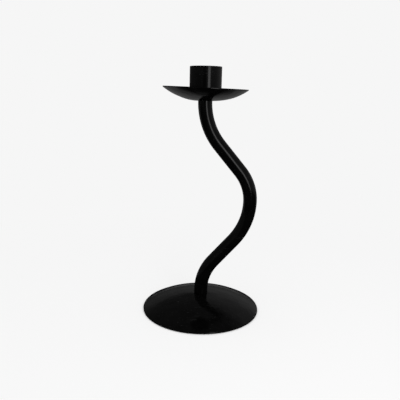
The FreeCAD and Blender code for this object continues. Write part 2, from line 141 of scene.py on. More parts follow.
# Baked black lacquer, sprayed on steel: near black, under a thin clear skin that mirrors softly,
# with faint orange peel, a few dust specks on what faces up, and now and then a pale hair scuff.
lacquerLook = {
    "color": "#020202", "deepColor": "#040404", "shadeSpacing": 9 * mm,
    "shadeRange": {"From Min": 0.35, "From Max": 0.65},
    "ior": 1.5, "underRoughness": 0.5, "clearShare": 0.18, "clearRoughness": 0.13,
    "peelSpacing": 2.2 * mm, "peelDepth": 0.0015 * mm, "waveSpacing": 26 * mm, "waveDepth": 0.02 * mm,
    "dustColor": "#333335", "dustSpacing": 1.1 * mm, "dustRange": {"From Min": 0.7, "From Max": 0.8},
    "dustFacing": {"From Min": 0.5, "From Max": 0.9},
    "scuffWidth": 0.5 * mm, "scuffLength": 8 * mm, "scuffTurn": -12,
    "scuffRange": {"From Min": 0.7, "From Max": 0.78, "To Max": 0.4},
}
# The dome and the dish are pressed from thin sheet, so their mirror is uneven in slow, wider waves.
pressedLook = {**lacquerLook, "clearRoughness": 0.15, "waveSpacing": 10 * mm, "waveDepth": 0.4 * mm}


def makeLacquer(name, look):
    material = bpy.data.materials.new(name)
    tree = newTree(material)
    place = addNode(tree, "ShaderNodeTexCoord").outputs["Object"]

    waves = addNode(tree, "ShaderNodeTexNoise", {"Scale": 1 / look["waveSpacing"]}, {"Vector": place})
    waves = addNode(tree, "ShaderNodeBump", {"Distance": look["waveDepth"]}, {"Height": waves})
    peel = addNode(
        tree, "ShaderNodeTexNoise", {"Scale": 1 / look["peelSpacing"], "Roughness": 0.45},
        {"Vector": place},
    )
    peel = addNode(
        tree, "ShaderNodeBump", {"Distance": look["peelDepth"]}, {"Height": peel, "Normal": waves}
    )

    shade = addNode(
        tree, "ShaderNodeTexNoise", {"Scale": 1 / look["shadeSpacing"], "Detail": 3.0},
        {"Vector": place},
    )
    shade = addNode(tree, "ShaderNodeMapRange", look["shadeRange"], {"Value": shade})
    lying = addNode(
        tree, "ShaderNodeMapping",
        {
            "Rotation": (0, 0, math.radians(look["scuffTurn"])),
            "Scale": (look["scuffWidth"] / look["scuffLength"], 1, 1),
        },
        {"Vector": place},
    )
    scuffs = addNode(
        tree, "ShaderNodeTexNoise", {"Scale": 1 / look["scuffWidth"], "Detail": 1.0}, {"Vector": lying}
    )
    scuffs = addNode(tree, "ShaderNodeMapRange", look["scuffRange"], {"Value": scuffs})
    specks = addNode(
        tree, "ShaderNodeTexNoise", {"Scale": 1 / look["dustSpacing"], "Detail": 3.0, "Roughness": 0.6},
        {"Vector": place},
    )
    specks = addNode(tree, "ShaderNodeMapRange", look["dustRange"], {"Value": specks})
    facing = addNode(tree, "ShaderNodeNewGeometry").outputs["Normal"]
    facing = addNode(tree, "ShaderNodeSeparateXYZ", None, {"Vector": facing}).outputs["Z"]
    facing = addNode(tree, "ShaderNodeMapRange", look["dustFacing"], {"Value": facing})
    dust = addNode(tree, "ShaderNodeMath", {"operation": "MULTIPLY"}, {0: specks, 1: facing})

    color = addNode(
        tree, "ShaderNodeMix",
        {"data_type": "RGBA", 6: linearColor(look["color"]), 7: linearColor(look["deepColor"])},
        {0: shade},
    )
    for share in (scuffs, dust):
        color = addNode(
            tree, "ShaderNodeMix", {"data_type": "RGBA", 7: linearColor(look["dustColor"])},
            {0: share, 6: color.outputs[2]},
        )
    shader = addNode(
        tree, "ShaderNodeBsdfPrincipled",
        {
            "Roughness": look["underRoughness"], "IOR": look["ior"], "Specular IOR Level": 0.0,
            "Coat Weight": look["clearShare"], "Coat Roughness": look["clearRoughness"],
            "Coat IOR": look["ior"],
        },
        {"Base Color": color.outputs[2], "Normal": peel, "Coat Normal": peel},
    )
    addNode(tree, "ShaderNodeOutputMaterial", None, {"Surface": shader})
    return material


# Bright zinc plate on steel hardware: cool silver, a little cloudy and blotched as plating bath
# work is, with a fine grain that breaks up its reflections.
zincLook = {
    "color": "#c3c6c9", "blotchColor": "#a3a9ae", "blotchSpacing": 3.5 * mm,
    "blotchRange": {"From Min": 0.35, "From Max": 0.65}, "roughness": {"To Min": 0.22, "To Max": 0.42},
    "grainSpacing": 0.45 * mm, "grainDepth": 0.004 * mm,
}


def makeZinc():
    look = zincLook
    material = bpy.data.materials.new("brightZincPlate")
    tree = newTree(material)
    place = addNode(tree, "ShaderNodeTexCoord").outputs["Object"]
    blotch = addNode(
        tree, "ShaderNodeTexNoise", {"Scale": 1 / look["blotchSpacing"], "Detail": 4.0},
        {"Vector": place},
    )
    blotch = addNode(tree, "ShaderNodeMapRange", look["blotchRange"], {"Value": blotch})
    grain = addNode(
        tree, "ShaderNodeTexNoise", {"Scale": 1 / look["grainSpacing"], "Detail": 3.0, "Roughness": 0.6},
        {"Vector": place},
    )
    grain = addNode(tree, "ShaderNodeBump", {"Distance": look["grainDepth"]}, {"Height": grain})
    color = addNode(
        tree, "ShaderNodeMix",
        {"data_type": "RGBA", 6: linearColor(look["color"]), 7: linearColor(look["blotchColor"])},
        {0: blotch},
    )
    roughness = addNode(tree, "ShaderNodeMapRange", look["roughness"], {"Value": blotch})
    shader = addNode(
        tree, "ShaderNodeBsdfPrincipled", {"Metallic": 1.0},
        {"Base Color": color.outputs[2], "Roughness": roughness, "Normal": grain},
    )
    addNode(tree, "ShaderNodeOutputMaterial", None, {"Surface": shader})
    return material


# Turned free-cutting steel, left bare: warm grey with fine rings from the lathe tool and a light
# oil stain here and there. The rings are drawn 0.35 mm apart, coarser than real, so that they show.
turnedLook = {
    "color": "#a9a7a3", "stainColor": "#7d776e", "stainSpacing": 6 * mm,
    "stainRange": {"From Min": 0.45, "From Max": 0.7}, "roughness": {"To Min": 0.28, "To Max": 0.46},
    "ringSpacing": 0.35 * mm, "ringDepth": 0.01 * mm, "ringUneven": 0.3,
}


def makeTurnedSteel():
    look = turnedLook
    material = bpy.data.materials.new("turnedBareSteel")
    tree = newTree(material)
    place = addNode(tree, "ShaderNodeTexCoord").outputs["Object"]
    stain = addNode(
        tree, "ShaderNodeTexNoise", {"Scale": 1 / look["stainSpacing"], "Detail": 3.0},
        {"Vector": place},
    )
    stain = addNode(tree, "ShaderNodeMapRange", look["stainRange"], {"Value": stain})
    rings = addNode(  # at a scale of 1 the bands are 0.314 m apart
        tree, "ShaderNodeTexWave",
        {
            "bands_direction": "Z", "Scale": 0.314 / look["ringSpacing"],
            "Distortion": look["ringUneven"],
        },
        {"Vector": place},
    ).outputs["Fac"]
    grooves = addNode(tree, "ShaderNodeBump", {"Distance": look["ringDepth"]}, {"Height": rings})
    color = addNode(
        tree, "ShaderNodeMix",
        {"data_type": "RGBA", 6: linearColor(look["color"]), 7: linearColor(look["stainColor"])},
        {0: stain},
    )
    roughness = addNode(tree, "ShaderNodeMapRange", look["roughness"], {"Value": rings})
    shader = addNode(
        tree, "ShaderNodeBsdfPrincipled", {"Metallic": 1.0},
        {"Base Color": color.outputs[2], "Roughness": roughness, "Normal": grooves},
    )
    addNode(tree, "ShaderNodeOutputMaterial", None, {"Surface": shader})
    return material


# Hard fibreboard, pressed from wood pulp: matt brown with pale and dark fibres lying both ways.
boardLook = {
    "color": "#6d5238", "roughness": 0.86, "shine": 0.3, "fibreWidth": 0.5 * mm,
    "fibreLength": 5 * mm, "fibreDepth": 0.03 * mm,
    "fibres": (  # each kind's colour, its lie in degrees and where it shows
        ("#94764f", 25, {"From Min": 0.5, "From Max": 0.72, "To Max": 0.8}),
        ("#3f2d1d", -50, {"From Min": 0.55, "From Max": 0.75, "To Max": 0.8}),
    ),
}


def makeFibreboard():
    look = boardLook
    material = bpy.data.materials.new("pressedFibreboard")
    tree = newTree(material)
    place = addNode(tree, "ShaderNodeTexCoord").outputs["Object"]
    bumps, under = [], {}
    for fibreColor, turn, fibreRange in look["fibres"]:
        lying = addNode(
            tree, "ShaderNodeMapping",
            {
                "Rotation": (0, 0, math.radians(turn)),
                "Scale": (look["fibreWidth"] / look["fibreLength"], 1, 1),
            },
            {"Vector": place},
        )
        fibres = addNode(
            tree, "ShaderNodeTexNoise",
            {"Scale": 1 / look["fibreWidth"], "Detail": 3.0, "Roughness": 0.6}, {"Vector": lying},
        )
        bumps.append(fibres)
        share = addNode(tree, "ShaderNodeMapRange", fibreRange, {"Value": fibres})
        color = addNode(
            tree, "ShaderNodeMix",
            {"data_type": "RGBA", 6: linearColor(look["color"]), 7: linearColor(fibreColor)},
            {0: share, **under},
        ).outputs[2]
        under = {6: color}
    raised = addNode(tree, "ShaderNodeBump", {"Distance": look["fibreDepth"]}, {"Height": bumps[0]})
    shader = addNode(
        tree, "ShaderNodeBsdfPrincipled",
        {"Roughness": look["roughness"], "Specular IOR Level": look["shine"]},
        {"Base Color": color, "Normal": raised},
    )
    addNode(tree, "ShaderNodeOutputMaterial", None, {"Surface": shader})
    return material


# Pressed black wool felt: dull and soft, with a tangle of hairs, a few of them pale, and a faint
# bloom along its edge where the hairs stand up.
feltLook = {
    "color": "#1c1c1e", "deepColor": "#0e0e10", "hairColor": "#55555a", "bloomColor": "#8c8c90",
    "tuftSpacing": 2.4 * mm, "tuftRange": {"From Min": 0.35, "From Max": 0.65},
    "hairWidth": 0.35 * mm, "hairLength": 3 * mm, "hairDepth": 0.09 * mm, "hairTurns": (15, 75, 130),
    "hairRange": {"From Min": 0.66, "From Max": 0.8, "To Max": 0.7}, "shine": 0.15, "bloom": 0.25,
    "bloomRoughness": 0.5,
}


def makeFelt():
    look = feltLook
    material = bpy.data.materials.new("pressedBlackFelt")
    tree = newTree(material)
    place = addNode(tree, "ShaderNodeTexCoord").outputs["Object"]
    tufts = addNode(
        tree, "ShaderNodeTexNoise", {"Scale": 1 / look["tuftSpacing"], "Detail": 4.0, "Roughness": 0.65},
        {"Vector": place},
    )
    tangle = None
    for turn in look["hairTurns"]:
        lying = addNode(
            tree, "ShaderNodeMapping",
            {
                "Rotation": (0, 0, math.radians(turn)),
                "Scale": (look["hairWidth"] / look["hairLength"], 1, 1),
            },
            {"Vector": place},
        )
        hairs = addNode(tree, "ShaderNodeTexNoise", {"Scale": 1 / look["hairWidth"]}, {"Vector": lying})
        if tangle:
            hairs = addNode(tree, "ShaderNodeMath", {"operation": "MAXIMUM"}, {0: tangle, 1: hairs})
        tangle = hairs
    raised = addNode(tree, "ShaderNodeBump", {"Distance": look["hairDepth"]}, {"Height": tufts})
    raised = addNode(
        tree, "ShaderNodeBump", {"Distance": look["hairDepth"]}, {"Height": tangle, "Normal": raised}
    )
    tuftShare = addNode(tree, "ShaderNodeMapRange", look["tuftRange"], {"Value": tufts})
    hairShare = addNode(tree, "ShaderNodeMapRange", look["hairRange"], {"Value": tangle})
    color = addNode(
        tree, "ShaderNodeMix",
        {"data_type": "RGBA", 6: linearColor(look["deepColor"]), 7: linearColor(look["color"])},
        {0: tuftShare},
    )
    color = addNode(
        tree, "ShaderNodeMix", {"data_type": "RGBA", 7: linearColor(look["hairColor"])},
        {0: hairShare, 6: color.outputs[2]},
    )
    shader = addNode(
        tree, "ShaderNodeBsdfPrincipled",
        {
            "Roughness": 1.0, "Specular IOR Level": look["shine"], "Sheen Weight": look["bloom"],
            "Sheen Roughness": look["bloomRoughness"], "Sheen Tint": linearColor(look["bloomColor"]),
        },
        {"Base Color": color.outputs[2], "Normal": raised},
    )
    addNode(tree, "ShaderNodeOutputMaterial", None, {"Surface": shader})
    return material


blackLacquer = makeLacquer("bakedBlackLacquer", lacquerLook)
pressedLacquer = makeLacquer("blackLacquerOnPressing", pressedLook)
zincPlate = makeZinc()
turnedSteel = makeTurnedSteel()
fibreboard = makeFibreboard()
blackFelt = makeFelt()
say("materials made")


domeForm = {
    "edgeHeight": 1.15 * mm, "sheet": 1.2 * mm, "edgeRound": 0.7 * mm, "landRadius": 6.7 * mm,
    "holeRadius": 3.25 * mm, "cutRound": 0.25 * mm, "sides": 192, "rings": 24, "edgeSteps": 6,
    "cutSteps": 4,
}


def makeBaseDome():
    form = domeForm
    low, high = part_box("base_dome")
    radius, bottom, top = high[0], low[2], high[2]
    sheet, turn, land = form["sheet"], form["edgeRound"], form["landRadius"]
    cut, hole, cutSteps = form["cutRound"], form["holeRadius"], form["cutSteps"]
    height, edge = top - bottom, form["edgeHeight"]
    center = (land ** 2 + height ** 2 - radius ** 2 - edge ** 2) / (2 * (height - edge))
    ball = math.hypot(radius, edge - center)
    turnZ = center + math.sqrt((ball - turn) ** 2 - (radius - turn) ** 2)
    shoulder = math.degrees(math.atan2(radius - turn, turnZ - center))
    landLean = math.degrees(math.asin(land / ball))
    innerBall = ball - sheet
    innerEdge = math.degrees(math.asin((radius - sheet) / innerBall))
    innerLand = math.degrees(math.acos((height - sheet - center) / innerBall))
    innerLandRadius = innerBall * math.sin(math.radians(innerLand))
    innerEdgeZ = center + innerBall * math.cos(math.radians(innerEdge))

    piece = startOutline("baseDome", hole + cut, top)
    moveBy(land - hole - cut, 0)
    turnBy(0, bottom + center, shoulder - landLean, form["rings"])
    turnBy(radius - turn, bottom + turnZ, 90 - shoulder, form["edgeSteps"])
    moveBy(0, cut - turnZ)
    turnBy(radius - cut, bottom + cut, 90, cutSteps)
    moveBy(2 * cut - sheet, 0)
    turnBy(radius - sheet + cut, bottom + cut, 90, cutSteps)
    moveBy(0, innerEdgeZ - cut)
    turnBy(0, bottom + center, innerLand - innerEdge, form["rings"])
    moveBy(hole + cut - innerLandRadius, 0)
    turnBy(hole + cut, top - sheet + cut, 90, cutSteps)
    moveBy(0, sheet - 2 * cut)
    turnBy(hole + cut, top - cut, 90, cutSteps)
    latheOutline(piece, form["sides"])
    dressPiece(piece, pressedLacquer, "black_lacquer", "base_dome")


stemForm = {
    "wall": 1.5 * mm, "lowerRise": 80.2 * mm, "footStraight": 3.2 * mm, "neckStraight": 0.6 * mm,
    "lowerRun": 24.4 * mm, "upperRun": 26.8 * mm, "footShare": 0.427, "neckShare": 0.582,
    "sides": 64, "stepDegrees": 2.0,
}


def bendsThatMeet(reach, rise, run):  # radii of two bends together, and the lean of the run
    bends = (reach ** 2 + rise ** 2 - run ** 2) / (2 * reach)
    return bends, math.degrees(math.atan2(reach - bends, rise) + math.atan2(bends, run))


def ringForward(distance, lean):  # the tube goes straight on, leaning this far from upright
    lean = math.radians(lean)
    step = (distance * math.sin(lean), 0, distance * math.cos(lean))
    bpy.ops.mesh.extrude_edges_move(TRANSFORM_OT_translate={"value": step})


def closeAtHeight(piece, height):  # close the tube's end between its outer and its inner ring
    bpy.ops.mesh.select_all(action="DESELECT")
    bpy.ops.object.mode_set(mode="OBJECT")
    for vertex in piece.data.vertices:
        vertex.select = abs(vertex.co.z - height) < mm / 1000
    bpy.ops.object.mode_set(mode="EDIT")
    bpy.ops.mesh.fill(use_beauty=True)


def makeStem():
    form = stemForm
    low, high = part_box("stem_tube")
    bottom, top = low[2], high[2]
    radius = (high[1] - low[1]) / 2
    reach = high[0] - radius
    crest = form["lowerRise"]
    lowerBends, lowerLean = bendsThatMeet(reach, crest - form["footStraight"], form["lowerRun"])
    upperRise = top - bottom - crest - form["neckStraight"]
    upperBends, upperLean = bendsThatMeet(reach, upperRise, form["upperRun"])
    footBend, neckBend = lowerBends * form["footShare"], upperBends * form["neckShare"]
    lowCrestBend, highCrestBend = lowerBends - footBend, upperBends - neckBend
    lowerSteps = round(lowerLean / form["stepDegrees"])
    upperSteps = round(upperLean / form["stepDegrees"])

    deselectAll()
    bpy.ops.mesh.primitive_circle_add(vertices=form["sides"], radius=radius, location=(0, 0, bottom))
    piece = bpy.context.object
    piece.name = piece.data.name = "stemTube"
    bpy.ops.object.transform_apply(location=True, rotation=True, scale=True)
    bpy.ops.object.mode_set(mode="EDIT")
    bpy.ops.mesh.primitive_circle_add(
        vertices=form["sides"], radius=radius - form["wall"], location=(0, 0, bottom)
    )
    bpy.ops.mesh.select_all(action="SELECT")
    ringForward(form["footStraight"], 0)
    turnBy(footBend, bottom + form["footStraight"], lowerLean, lowerSteps)
    ringForward(form["lowerRun"], lowerLean)
    turnBy(reach - lowCrestBend, bottom + crest, -lowerLean, lowerSteps)
    turnBy(reach - highCrestBend, bottom + crest, -upperLean, upperSteps)
    ringForward(form["upperRun"], -upperLean)
    turnBy(neckBend, top - form["neckStraight"], upperLean, upperSteps)
    ringForward(form["neckStraight"], 0)
    closeAtHeight(piece, bottom)
    closeAtHeight(piece, top)
    finishSkin(piece)
    dressPiece(piece, blackLacquer, "black_lacquer", "stem_tube")


dishForm = {
    "landRadius": 6 * mm, "bowlRadius": 45.7 * mm, "sheet": 1 * mm, "edgeRound": 0.2 * mm,
    "holeRadius": 2.75 * mm, "cutRound": 0.2 * mm, "lipRound": 0.15 * mm, "sides": 192, "rings": 22,
    "edgeSteps": 5, "cutSteps": 4, "lean": 1.48, "leanAbout": 7 * mm, "leanFrom": 10 * mm,
    "leanTo": 21 * mm, "leanSteps": 11,
}


def leanRim(piece, form, height):  # the pressed bowl isn't quite true: its rim is lower on the right
    bpy.ops.object.mode_set(mode="EDIT")
    for step in range(form["leanSteps"]):
        start = form["leanFrom"] + (form["leanTo"] - form["leanFrom"]) * step / form["leanSteps"]
        bpy.ops.mesh.select_all(action="DESELECT")
        bpy.ops.object.mode_set(mode="OBJECT")
        for vertex in piece.data.vertices:
            vertex.select = math.hypot(vertex.co.x, vertex.co.y) > start
        bpy.ops.object.mode_set(mode="EDIT")
        bpy.ops.transform.rotate(
            value=-math.radians(form["lean"] / form["leanSteps"]), orient_axis="Y", orient_type="GLOBAL",
            center_override=(form["leanAbout"], 0, height),
        )
    finishSkin(piece)


def makeDripDish():
    form = dishForm
    low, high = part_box("drip_dish")
    radius, bottom, top = high[0], low[2], high[2]
    land, bowl, sheet, cutSteps = form["landRadius"], form["bowlRadius"], form["sheet"], form["cutSteps"]
    turn, cut, lip, hole = form["edgeRound"], form["cutRound"], form["lipRound"], form["holeRadius"]
    turnZ = bottom + bowl - math.sqrt((bowl - turn) ** 2 - (radius - turn - land) ** 2)
    rise = math.degrees(math.asin((radius - turn - land) / (bowl - turn)))
    innerBowl = bowl - sheet
    lipZ = top - lip
    innerRadius = land + math.sqrt(innerBowl ** 2 - (bottom + bowl - lipZ) ** 2)
    innerRise = math.degrees(math.asin((innerRadius - land) / innerBowl))

    piece = startOutline("dripDish", hole + cut, bottom)
    moveBy(land - hole - cut, 0)
    turnBy(land, bottom + bowl, -rise, form["rings"])
    turnBy(radius - turn, turnZ, rise - 90, form["edgeSteps"])
    moveBy(0, lipZ - turnZ)
    turnBy(radius - lip, lipZ, -90, cutSteps)
    moveBy(innerRadius - radius + 2 * lip, 0)
    turnBy(innerRadius + lip, lipZ, -90, cutSteps)
    turnBy(land, bottom + bowl, innerRise, form["rings"])
    moveBy(hole + cut - land, 0)
    turnBy(hole + cut, bottom + sheet - cut, -90, cutSteps)
    moveBy(0, 2 * cut - sheet)
    turnBy(hole + cut, bottom + cut, -90, cutSteps)
    latheOutline(piece, form["sides"])
    leanRim(piece, form, (bottom + top) / 2)
    dressPiece(piece, pressedLacquer, "black_lacquer", "drip_dish")


cupForm = {
    "wall": 1 * mm, "corner": 4 * mm, "holeRadius": 2.75 * mm, "cutRound": 0.2 * mm,
    "lipRound": 0.35 * mm, "sides": 160, "cornerSteps": 12, "lipSteps": 5, "cutSteps": 4,
}


def makeCandleCup():
    form = cupForm
    low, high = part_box("candle_cup")
    radius, bottom, top = high[0], low[2], high[2]
    wall, corner, cut = form["wall"], form["corner"], form["cutRound"]
    lip, hole = form["lipRound"], form["holeRadius"]
    piece = startOutline("candleCup", hole + cut, bottom)
    moveBy(radius - corner - hole - cut, 0)
    turnBy(radius - corner, bottom + corner, -90, form["cornerSteps"])
    moveBy(0, top - lip - bottom - corner)
    turnBy(radius - lip, top - lip, -90, form["lipSteps"])
    moveBy(2 * lip - wall, 0)
    turnBy(radius - wall + lip, top - lip, -90, form["lipSteps"])
    moveBy(0, bottom + corner - top + lip)
    turnBy(radius - corner, bottom + corner, 90, form["cornerSteps"])
    moveBy(hole + cut - radius + corner, 0)
    turnBy(hole + cut, bottom + wall - cut, -90, form["cutSteps"])
    moveBy(0, 2 * cut - wall)
    turnBy(hole + cut, bottom + cut, -90, form["cutSteps"])
    latheOutline(piece, form["sides"])
    dressPiece(piece, blackLacquer, "black_lacquer", "candle_cup")


makeBaseDome()
makeStem()
makeDripDish()
makeCandleCup()
say("lacquered pieces made")


feltForm = {
    "edgeRound": 0.45 * mm, "edgeSteps": 4, "fuzz": 0.07 * mm, "sides": 240, "rings": 9, "fuzzSeed": 5,
}


def makeFeltDisc():
    form = feltForm
    low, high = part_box("base_felt")
    radius, bottom, top, turn = high[0], low[2], high[2], form["edgeRound"]
    piece = startOutline("feltDisc", 0, bottom)
    for _ in range(form["rings"]):
        moveBy((radius - turn) / form["rings"], 0)
    turnBy(radius - turn, bottom + turn, -90, form["edgeSteps"])
    moveBy(0, top - bottom - 2 * turn)
    turnBy(radius - turn, top - turn, -90, form["edgeSteps"])
    for _ in range(form["rings"]):
        moveBy((turn - radius) / form["rings"], 0)
    latheOutline(piece, form["sides"])
    for vertex in piece.data.vertices:  # only the cut edge is loose and hairy
        onEdge = math.hypot(vertex.co.x, vertex.co.y) > radius - turn / 2
        vertex.select = onEdge and bottom + turn / 4 < vertex.co.z < top - turn / 4
    for part in (*piece.data.edges, *piece.data.polygons):
        part.select = False
    bpy.ops.object.mode_set(mode="EDIT")
    bpy.ops.transform.vertex_random(offset=form["fuzz"], uniform=1.0, normal=0.0, seed=form["fuzzSeed"])
    bpy.ops.object.mode_set(mode="OBJECT")
    dressPiece(piece, blackFelt, "felt", "base_felt")


makeFeltDisc()
say("felt made")


threadShape = {"crestShare": 0.14, "stepsPerTurn": 28}


def makeThread(name, low, high, radius, pitch, depth):
    # one tooth, drawn as a line one pitch high, is wound up and then cut level at both ends
    flank = pitch * (1 - threadShape["crestShare"]) / 2
    piece = startOutline(name, radius - depth, low - pitch)
    moveBy(depth, flank)
    moveBy(0, pitch - 2 * flank)
    moveBy(-depth, flank)
    bpy.ops.object.mode_set(mode="OBJECT")
    bpy.ops.object.modifier_add(type="SCREW")
    wind = piece.modifiers[-1]
    wind.axis, wind.angle, wind.screw_offset = "Z", math.tau, pitch
    wind.steps = wind.render_steps = threadShape["stepsPerTurn"]
    wind.iterations = math.ceil((high - low) / pitch) + 2
    bpy.ops.object.modifier_apply(modifier=wind.name)
    editAll()
    bpy.ops.mesh.remove_doubles(threshold=mm / 1000)
    cut = {"plane_no": (0, 0, 1), "use_fill": True, "threshold": mm / 10000}
    bpy.ops.mesh.bisect(plane_co=(0, 0, low), clear_inner=True, **cut)
    bpy.ops.mesh.select_all(action="SELECT")
    bpy.ops.mesh.bisect(plane_co=(0, 0, high), clear_outer=True, **cut)
    finishSkin(piece, 30)
    return piece


def cutWith(piece, tool, operation):  # the tool shapes the piece and is then thrown away
    selectOnly(piece)
    bpy.ops.object.modifier_add(type="BOOLEAN")
    cut = piece.modifiers[-1]
    cut.operation, cut.object, cut.solver = operation, tool, "EXACT"
    bpy.ops.object.modifier_apply(modifier=cut.name)
    bpy.data.objects.remove(tool)


def joinTo(piece, other):
    selectOnly(piece)
    other.select_set(True)
    bpy.ops.object.join()


def softenEdges(piece, width):
    bpy.ops.object.modifier_add(type="BEVEL")
    bevel = piece.modifiers[-1]
    bevel.width, bevel.segments = width, 2
    bevel.limit_method, bevel.angle_limit = "ANGLE", math.radians(40)
    bpy.ops.object.modifier_apply(modifier=bevel.name)
    editAll()
    finishSkin(piece, 30)


cupScrewForm = {  # M5 slotted pan head
    "headHeight": 2.8 * mm, "headRound": 1.3 * mm, "headSteps": 7, "underRound": 0.15 * mm,
    "underSteps": 2, "slotWidth": 1.2 * mm, "slotDepth": 1.3 * mm, "slotRound": 0.09 * mm,
    "threadRadius": 2.48 * mm, "pitch": 0.8 * mm, "threadDepth": 0.46 * mm, "overlap": 0.1 * mm,
    "sides": 72,
}


def makeCupScrew():
    form = cupScrewForm
    low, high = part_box("cup_screw")
    radius, top, turn, underTurn = high[0], high[2], form["headRound"], form["underRound"]
    under = top - form["headHeight"]
    piece = startOutline("cupScrew", 0, under)
    moveBy(radius - underTurn, 0)
    turnBy(radius - underTurn, under + underTurn, -90, form["underSteps"])
    moveBy(0, top - turn - under - underTurn)
    turnBy(radius - turn, top - turn, -90, form["headSteps"])
    moveBy(turn - radius, 0)
    latheOutline(piece, form["sides"])
    deselectAll()
    bpy.ops.mesh.primitive_cube_add(size=1, location=(0, 0, top))
    slot = bpy.context.object
    slot.scale = (4 * radius, form["slotWidth"], 2 * form["slotDepth"])
    bpy.ops.object.transform_apply(location=True, rotation=True, scale=True)
    cutWith(piece, slot, "DIFFERENCE")
    softenEdges(piece, form["slotRound"])
    shank = makeThread(
        "cupScrewShank", low[2], under + form["overlap"], form["threadRadius"], form["pitch"],
        form["threadDepth"],
    )
    joinTo(piece, shank)
    dressPiece(piece, zincPlate, "zinc_plate", "cup_screw")


baseScrewForm = {  # M6 hexagon head, which points down
    "headHeight": 4 * mm, "acrossFlats": 10 * mm, "chamfer": 0.45 * mm, "faceInset": 0.25 * mm,
    "washerFace": 0.2 * mm, "washerInset": 0.3 * mm, "pastCorners": 0.05 * mm,
    "threadRadius": 2.98 * mm, "pitch": 1 * mm, "threadDepth": 0.57 * mm, "overlap": 0.1 * mm,
    "sides": 72,
}


def makeBaseScrew():
    form = baseScrewForm
    low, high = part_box("base_screw")
    bottom, height, flat = low[2], form["headHeight"], form["acrossFlats"] / 2
    corner = flat / math.cos(math.radians(30))
    faceRadius, washerRadius = flat - form["faceInset"], flat - form["washerInset"]
    outerRadius = corner + form["pastCorners"]
    piece = startOutline("baseScrew", 0, bottom)
    moveBy(faceRadius, 0)
    moveBy(outerRadius - faceRadius, form["chamfer"])
    moveBy(0, height - form["chamfer"] - form["washerFace"])
    moveBy(washerRadius - outerRadius, 0)
    moveBy(0, form["washerFace"])
    moveBy(-washerRadius, 0)
    latheOutline(piece, form["sides"])
    deselectAll()
    cornersOnY = high[1] - low[1] > high[0] - low[0]
    bpy.ops.mesh.primitive_cylinder_add(
        vertices=6, radius=corner, depth=4 * height, location=(0, 0, bottom),
        rotation=(0, 0, 0 if cornersOnY else math.radians(30)),
    )
    hexagon = bpy.context.object
    bpy.ops.object.transform_apply(location=True, rotation=True, scale=True)
    cutWith(piece, hexagon, "INTERSECT")
    editAll()
    finishSkin(piece, 25)
    shank = makeThread(
        "baseScrewShank", bottom + height - form["overlap"], high[2], form["threadRadius"],
        form["pitch"], form["threadDepth"],
    )
    joinTo(piece, shank)
    dressPiece(piece, zincPlate, "zinc_plate", "base_screw")


makeCupScrew()
makeBaseScrew()
say("screws made")

plainNodes = {
    "base_cover": fibreboard, "base_washer": zincPlate, "base_spring_washer": zincPlate,
    "stem_foot_insert": turnedSteel, "stem_head_insert": turnedSteel,
}
for name, material in plainNodes.items():
    giveMaterial(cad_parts[name], material)
say("solids dressed that keep their shape")


# The stage: a pale paper floor and backdrop, and one narrow lamp. Painted reflections stand round a
# small photo table: cards that glow only in gloss paint the reflection of a white screen that reaches
# high on the right and low on the left, a dim room above it, a dark table top and a dark tripod.
stageLook = {
    "backdropColor": "#f6f6f6", "fillStrength": 0.95, "paperColor": "#f4f4f4", "paperSize": 8.0,
    "paperDrop": 0.05 * mm, "paperGlow": 0.7, "fadeStart": 0.12, "fadeEnd": 0.35,
    "contactStart": 47.5 * mm, "contactEnd": 51 * mm,
}
stripLight = {
    "azimuth": 24, "distance": 0.6, "width": 0.17, "bottom": 0.04, "height": 0.46, "power": 1.8,
}
# painted dark reflection of a table top: a card that glows faintly and is seen only in gloss
tableReflectionCard = {"glow": 0.03, "fullFrom": 0.06, "clearFrom": 0.2, "size": 4.4, "lift": 0.2 * mm}
# painted dark reflection of a tripod: a card that glows faintly and is seen only in gloss
tripodReflectionCard = {"azimuth": -8, "distance": 0.6, "width": 0.25, "height": 0.9, "glow": 0.1}


def heightAt(degrees):  # how high a direction this far above the table is on a ball of radius 1
    return math.sin(math.radians(degrees))


# the painted reflection of the screen and the room, as glow strengths on a half ball seen only in gloss
paintedReflectionShell = {
    "radius": 2.4, "screenLeft": 0.42, "screenRight": 0.95, "screenHigh": 0.68, "roomLeft": 0.25,
    "roomRight": 0.22, "footShare": 0.35,
    "screenTurn": {"From Min": -0.5, "From Max": 0.55},
    "frontTurn": {"From Min": -0.3, "From Max": 0.3, "To Min": 0.66},
    "fades": {  # each goes along one axis of that ball, from none to all
        "footSide": ("X", 0.55, 0.25), "footBack": ("Y", -0.1, 0.3), "footTop": ("Z", 0, 0.24),
        "screenTop": ("Z", heightAt(21), heightAt(30)), "highTop": ("Z", heightAt(40), heightAt(62)),
        "rightHalf": ("X", -0.05, 0.15),
    },
}


def seenDirectly(tree):  # 1 for rays from the camera and for what gloss and glass show
    path = addNode(tree, "ShaderNodeLightPath")
    seen = path.outputs["Is Camera Ray"]
    for ray in ("Is Glossy Ray", "Is Transmission Ray"):
        seen = addNode(
            tree, "ShaderNodeMath", {"operation": "MAXIMUM"}, {0: seen, 1: path.outputs[ray]}
        )
    return seen


def makeWorld():
    world = bpy.data.worlds.new("paleStudio")
    bpy.context.scene.world = world
    tree = newTree(world)
    fill = addNode(
        tree, "ShaderNodeBackground", {"Color": (1, 1, 1, 1), "Strength": stageLook["fillStrength"]}
    )
    backdrop = addNode(
        tree, "ShaderNodeBackground",
        {"Color": linearColor(stageLook["backdropColor"]), "Strength": 1.0},
    )
    mix = addNode(tree, "ShaderNodeMixShader", None, {0: seenDirectly(tree), 1: fill, 2: backdrop})
    addNode(tree, "ShaderNodeOutputWorld", None, {"Surface": mix})


